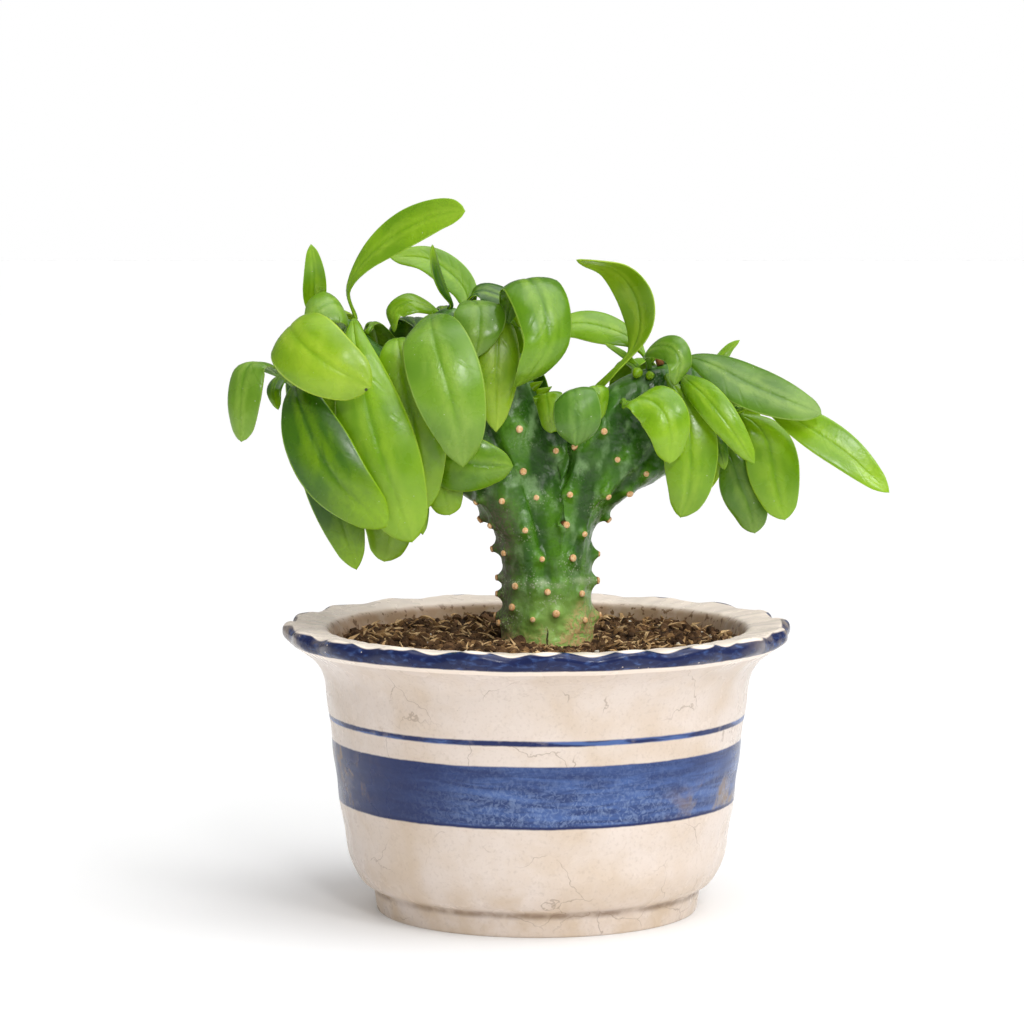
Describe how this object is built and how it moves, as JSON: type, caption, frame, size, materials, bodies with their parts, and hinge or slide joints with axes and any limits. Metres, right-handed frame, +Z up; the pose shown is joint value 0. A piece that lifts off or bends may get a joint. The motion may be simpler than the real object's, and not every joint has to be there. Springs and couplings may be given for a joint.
{
  "type": "potted crested euphorbia",
  "caption": "Succulent with a thick, fan-shaped crested stem and long fleshy leaves, planted in soil in a round glazed pot with a ruffled lip and blue bands.",
  "frame": {"origin": "centre of the pot's underside, on the plane it rests on", "axes": "+Z up along the pot's axis, front towards -Y, the fan's width along X"},
  "size_m": [0.2704, 0.2108, 0.2959],
  "materials": {
    "glazed_pot": "cream glaze with blue bands, fine crazing and brown stains",
    "soil": "dark loose potting mix with bark chips and fibres",
    "stem": "waxy dark green skin with tan leaf scars and corky base",
    "leaf": "smooth fleshy green leaf with a soft gloss"
  },
  "bodies": {
    "root": {"pot": "glazed_pot", "soil": "soil", "crest_stem": "stem", "leaf_left_tall": "leaf", "leaf_left_back_arch": "leaf", "leaf_left_sliver": "leaf", "leaf_left_upright": "leaf", "leaf_left_rolled": "leaf", "leaf_left_broad": "leaf", "leaf_far_left_hanging": "leaf", "leaf_far_left_curl": "leaf", "leaf_left_long": "leaf", "leaf_left_under_long": "leaf", "leaf_left_low_front": "leaf", "leaf_left_low_hanging": "leaf", "leaf_left_low_tip": "leaf", "leaf_middle_left_behind": "leaf", "leaf_middle_left_front": "leaf", "leaf_heart": "leaf", "leaf_middle_narrow": "leaf", "leaf_right_pointing": "leaf", "leaf_small_round": "leaf", "leaf_dark_sliver": "leaf", "leaf_left_strap": "leaf", "leaf_middle_arch": "leaf", "leaf_middle_drooping": "leaf", "leaf_right_back_strap": "leaf", "leaf_right_tall": "leaf", "leaf_right_thin": "leaf", "leaf_right_recurved": "leaf", "leaf_right_light": "leaf", "leaf_right_hanging_front": "leaf", "leaf_right_slanted": "leaf", "leaf_right_big": "leaf", "leaf_far_right": "leaf", "leaf_right_hanging_outer": "leaf", "leaf_right_hanging_dark": "leaf", "leaf_right_short_dark": "leaf", "leaf_right_spur": "leaf", "leaf_right_sprout": "leaf", "leaf_cup_front": "leaf", "leaf_cup_left": "leaf", "leaf_cup_right": "leaf", "leaf_back_1": "leaf", "leaf_back_2": "leaf", "leaf_back_3": "leaf", "leaf_back_4": "leaf", "leaf_back_5": "leaf", "leaf_back_6": "leaf", "leaf_back_7": "leaf", "leaf_back_8": "leaf", "leaf_back_9": "leaf", "leaf_back_10": "leaf", "leaf_back_11": "leaf", "leaf_back_12": "leaf"}
  },
  "joints": []
}
